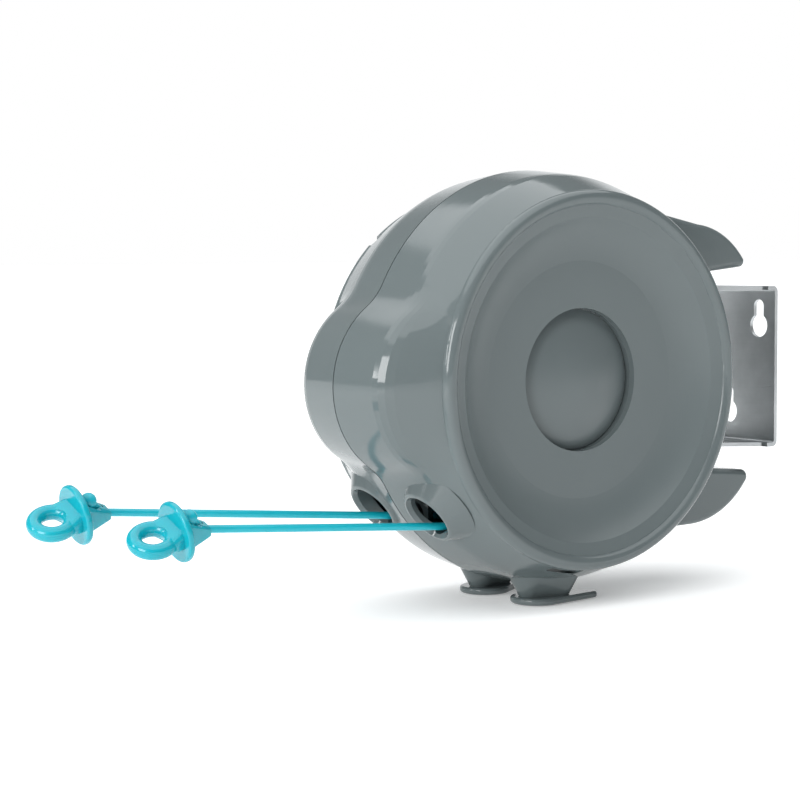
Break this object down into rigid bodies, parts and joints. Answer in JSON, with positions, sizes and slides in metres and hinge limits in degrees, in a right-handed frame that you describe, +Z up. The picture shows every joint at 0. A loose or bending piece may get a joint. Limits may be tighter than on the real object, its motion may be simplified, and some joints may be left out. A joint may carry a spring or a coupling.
{
  "type": "retractable clothesline",
  "caption": "Wall-mounted retractable clothesline: round grey casing on a swivel bracket, with teal lines that run out of its front and end in pull rings.",
  "frame": {"origin": "centre of the wall bracket's back face, on the wall", "axes": "+X along the drum's axis, +Y into the wall, +Z up"},
  "size_m": [0.1004, 0.3947, 0.2059],
  "materials": {
    "casing_grey": "gloss",
    "cap_grey": "satin",
    "bracket_steel": "brushed",
    "pin_steel": "satin",
    "screw_steel": "bright zinc",
    "spring_steel": "blued",
    "spool_white": "satin",
    "guide_black": "satin",
    "line_teal": "satin",
    "end_teal": "gloss"
  },
  "bodies": {
    "bracket": {"wall_bracket": "bracket_steel", "pivot_washers": "guide_black"},
    "casing": {"right_casing": "casing_grey", "left_casing": "casing_grey", "right_hub_cap": "cap_grey", "left_hub_cap": "cap_grey", "casing_screws": "screw_steel", "pivot_pin": "pin_steel", "axle": "pin_steel", "axle_screws": "screw_steel", "spool_spacer": "guide_black", "thrust_washers": "guide_black", "left_line_guide": "guide_black", "right_line_guide": "guide_black"},
    "left_spool": {"left_spool": "spool_white", "left_spring_cover": "spool_white", "left_cover_screws": "screw_steel", "left_wound_line": "line_teal", "left_power_spring": "spring_steel"},
    "left_line_end": {"left_line_end": "end_teal", "left_line": "line_teal"},
    "right_spool": {"right_spool": "spool_white", "right_spring_cover": "spool_white", "right_cover_screws": "screw_steel", "right_wound_line": "line_teal", "right_power_spring": "spring_steel"},
    "right_line_end": {"right_line_end": "end_teal", "right_line": "line_teal"}
  },
  "joints": [
    {"name": "casing_swivel", "type": "hinge", "parent": "bracket", "child": "casing", "pos_m": [0, -0.0296, 0], "axis": [0, 0, 1], "range_deg": [-50, 50]},
    {"name": "left_spool_spin", "type": "hinge", "parent": "casing", "child": "left_spool", "pos_m": [0, -0.1366, -0.0013], "axis": [-1, 0, 0], "range_deg": [-115.57, 12207.91], "deforming": ["left_power_spring"]},
    {"name": "left_line_pull", "type": "slide", "parent": "casing", "child": "left_line_end", "axis": [0, -0.9961, 0.088], "range_m": [-0.143, 15.01], "deforming": ["left_line"]},
    {"name": "right_spool_spin", "type": "hinge", "parent": "casing", "child": "right_spool", "pos_m": [0, -0.1366, -0.0013], "axis": [-1, 0, 0], "range_deg": [-96.85, 12207.91], "deforming": ["right_power_spring"]},
    {"name": "right_line_pull", "type": "slide", "parent": "casing", "child": "right_line_end", "axis": [0, -0.9973, 0.0729], "range_m": [-0.12, 15.01], "deforming": ["right_line"]}
  ],
  "couplings": [
    {"joint": "left_line_pull", "follows": "left_spool_spin", "m_per_rad": 0.0704},
    {"joint": "right_line_pull", "follows": "right_spool_spin", "m_per_rad": 0.0704}
  ]
}
